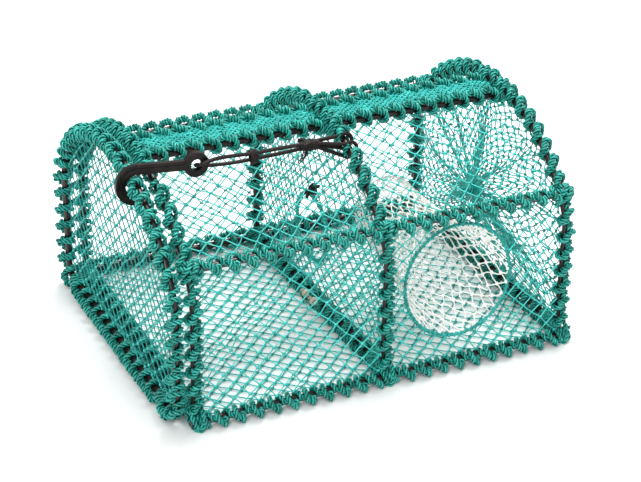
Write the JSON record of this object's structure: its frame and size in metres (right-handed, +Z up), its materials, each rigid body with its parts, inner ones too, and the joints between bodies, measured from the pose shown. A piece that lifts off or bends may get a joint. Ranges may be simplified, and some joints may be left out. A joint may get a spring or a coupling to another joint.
{
  "type": "folding crab trap",
  "caption": "Folding D-section crab trap: rope-bound rod hoops and rails, net panels, white entrance funnel, parlour ring, end door held by a hook on shock cord.",
  "frame": {"origin": "middle of the trap's footprint, on the surface it stands on", "axes": "+X along the cage from the door end to the gathered end, +Y from the entrance side to the back, +Z up"},
  "size_m": [0.5012, 0.3796, 0.2666],
  "materials": {
    "rod": "black plastic-dipped steel rod, satin",
    "rope": "three-strand polyethylene rope, dark teal",
    "netting": "knotted polyethylene twine, turquoise",
    "white_netting": "knotted nylon twine, white",
    "hook_plastic": "moulded black plastic",
    "shock_cord": "braided elastic cord, black"
  },
  "bodies": {
    "base": {"ground_rail_front": "rod", "ground_rail_back": "rod", "ground_rope_front": "rope", "ground_rope_back": "rope", "foot_lashings": "rope", "floor_net": "netting", "front_net": "netting", "back_net": "netting", "entrance_ring": "rope", "entrance_funnel": "white_netting"},
    "hoop_left": {"hoop_left": "rod", "hoop_left_rope": "rope", "door_lashings": "rope"},
    "hoop_centre": {"hoop_centre": "rod", "hoop_centre_rope": "rope", "partition_net": "netting", "parlour_ring": "rope", "parlour_tie": "shock_cord"},
    "hoop_right": {"hoop_right": "rod", "hoop_right_rope": "rope", "end_net": "netting", "end_net_knot": "rope"},
    "waist_rails": {"waist_rail_front": "rod", "waist_rail_back": "rod", "waist_rope_front": "rope", "waist_rope_back": "rope", "front_roof_net": "netting", "back_roof_net": "netting"},
    "top_rails": {"top_rail_front": "rod", "top_rail_back": "rod", "top_rope_front": "rope", "top_rope_back": "rope", "top_net": "netting"},
    "door": {"door_hoop": "rod", "door_rope": "rope", "door_net": "netting"},
    "hook": {"hook": "hook_plastic"},
    "cord": {"cord_strands": "shock_cord", "cord_knot": "shock_cord", "cord_loops": "shock_cord"},
    "cord_middle": {"cord_tie": "shock_cord"},
    "cord_end": {"shock_cord": "shock_cord"}
  },
  "joints": [
    {"name": "fold_centre", "type": "hinge", "parent": "base", "child": "hoop_centre", "pos_m": [0.01785, 0, 0.016], "axis": [0, 1, 0], "range_deg": [0, 70], "deforming": ["shock_cord", "cord_strands", "front_net", "back_net", "front_roof_net", "back_roof_net", "entrance_ring", "entrance_funnel", "end_net", "partition_net"]},
    {"name": "fold_left", "type": "hinge", "parent": "base", "child": "hoop_left", "pos_m": [-0.20715, 0, 0.016], "axis": [0, 1, 0], "range_deg": [0, 70]},
    {"name": "fold_right", "type": "hinge", "parent": "base", "child": "hoop_right", "pos_m": [0.24285, 0, 0.016], "axis": [0, 1, 0], "range_deg": [0, 70]},
    {"name": "waist_pivot", "type": "hinge", "parent": "hoop_centre", "child": "waist_rails", "pos_m": [0.01785, 0, 0.17687], "axis": [0, 1, 0], "range_deg": [-70, 0]},
    {"name": "top_pivot", "type": "hinge", "parent": "hoop_centre", "child": "top_rails", "pos_m": [0.01785, 0, 0.25306], "axis": [0, 1, 0], "range_deg": [-70, 0]},
    {"name": "cord_pivot", "type": "hinge", "parent": "hoop_centre", "child": "cord", "pos_m": [0.01785, -0.0697, 0.24161], "axis": [0, 1, 0], "range_deg": [-70, 0]},
    {"name": "cord_slack", "type": "slide", "parent": "cord", "child": "cord_middle", "axis": [0.5736, 0, 0.8192], "range_m": [0, 0.02352]},
    {"name": "cord_stretch", "type": "slide", "parent": "cord_middle", "child": "cord_end", "axis": [-0.9982, 0, 0.06], "range_m": [0, 0.1062]},
    {"name": "door_swing", "type": "hinge", "parent": "hoop_left", "child": "door", "pos_m": [-0.22765, 0, 0.016], "axis": [0, -1, 0], "range_deg": [0, 25], "stiffness_Nm_per_rad": 1.5, "springref_deg": -20.05, "deforming": ["shock_cord", "cord_strands"]},
    {"name": "hook_pivot", "type": "hinge", "parent": "door", "child": "hook", "pos_m": [-0.22765, -0.0697, 0.24161], "axis": [0, 1, 0], "range_deg": [-70, 0]}
  ],
  "couplings": [
    {"joint": "fold_left", "follows": "fold_centre", "ratio": 1},
    {"joint": "fold_right", "follows": "fold_centre", "ratio": 1},
    {"joint": "waist_pivot", "follows": "fold_centre", "ratio": -1},
    {"joint": "top_pivot", "follows": "fold_centre", "ratio": -1},
    {"joint": "cord_pivot", "follows": "fold_centre", "ratio": -1},
    {"joint": "hook_pivot", "follows": "fold_centre", "ratio": -1},
    {"joint": "cord_slack", "follows": "fold_centre", "m_per_rad": 0.019251},
    {"joint": "cord_stretch", "follows": "door_swing", "m_per_rad": 0.24339}
  ]
}
